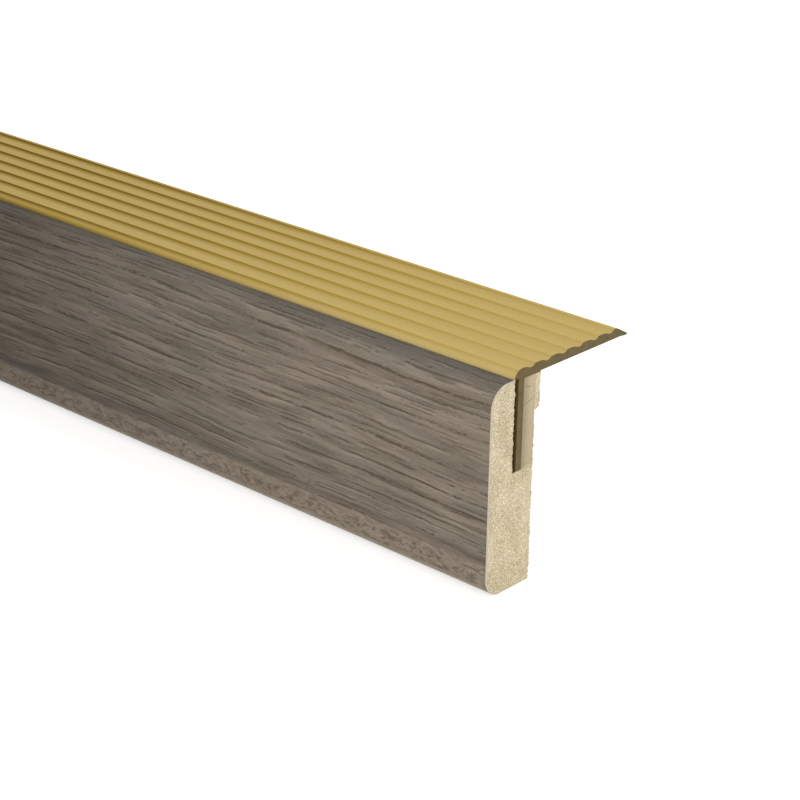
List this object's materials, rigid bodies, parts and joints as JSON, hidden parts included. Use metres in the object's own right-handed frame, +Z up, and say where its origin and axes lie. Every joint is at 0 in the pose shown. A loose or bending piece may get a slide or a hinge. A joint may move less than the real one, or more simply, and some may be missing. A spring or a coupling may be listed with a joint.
{
  "type": "stair nosing",
  "caption": "Length of stair nosing: a fibreboard board with a wood-decor rounded front, and a ribbed gold metal tread flange whose leg stands in the board's slot.",
  "frame": {"origin": "middle of the length and of the whole depth, at the foot that it stands on", "axes": "+X along the length, -Y towards the decor front, +Y towards the tip of the tread flange, +Z up"},
  "size_m": [1, 0.046, 0.051],
  "materials": {
    "fibreboard": "sawn medium-density fibreboard, matt",
    "wood_decor": "grey-brown oak grain decor laminate, satin",
    "gold_anodised": "gold anodised, satin"
  },
  "bodies": {
    "root": {"core_board": "fibreboard", "decor_laminate": "wood_decor", "tread_profile": "gold_anodised"}
  },
  "joints": []
}
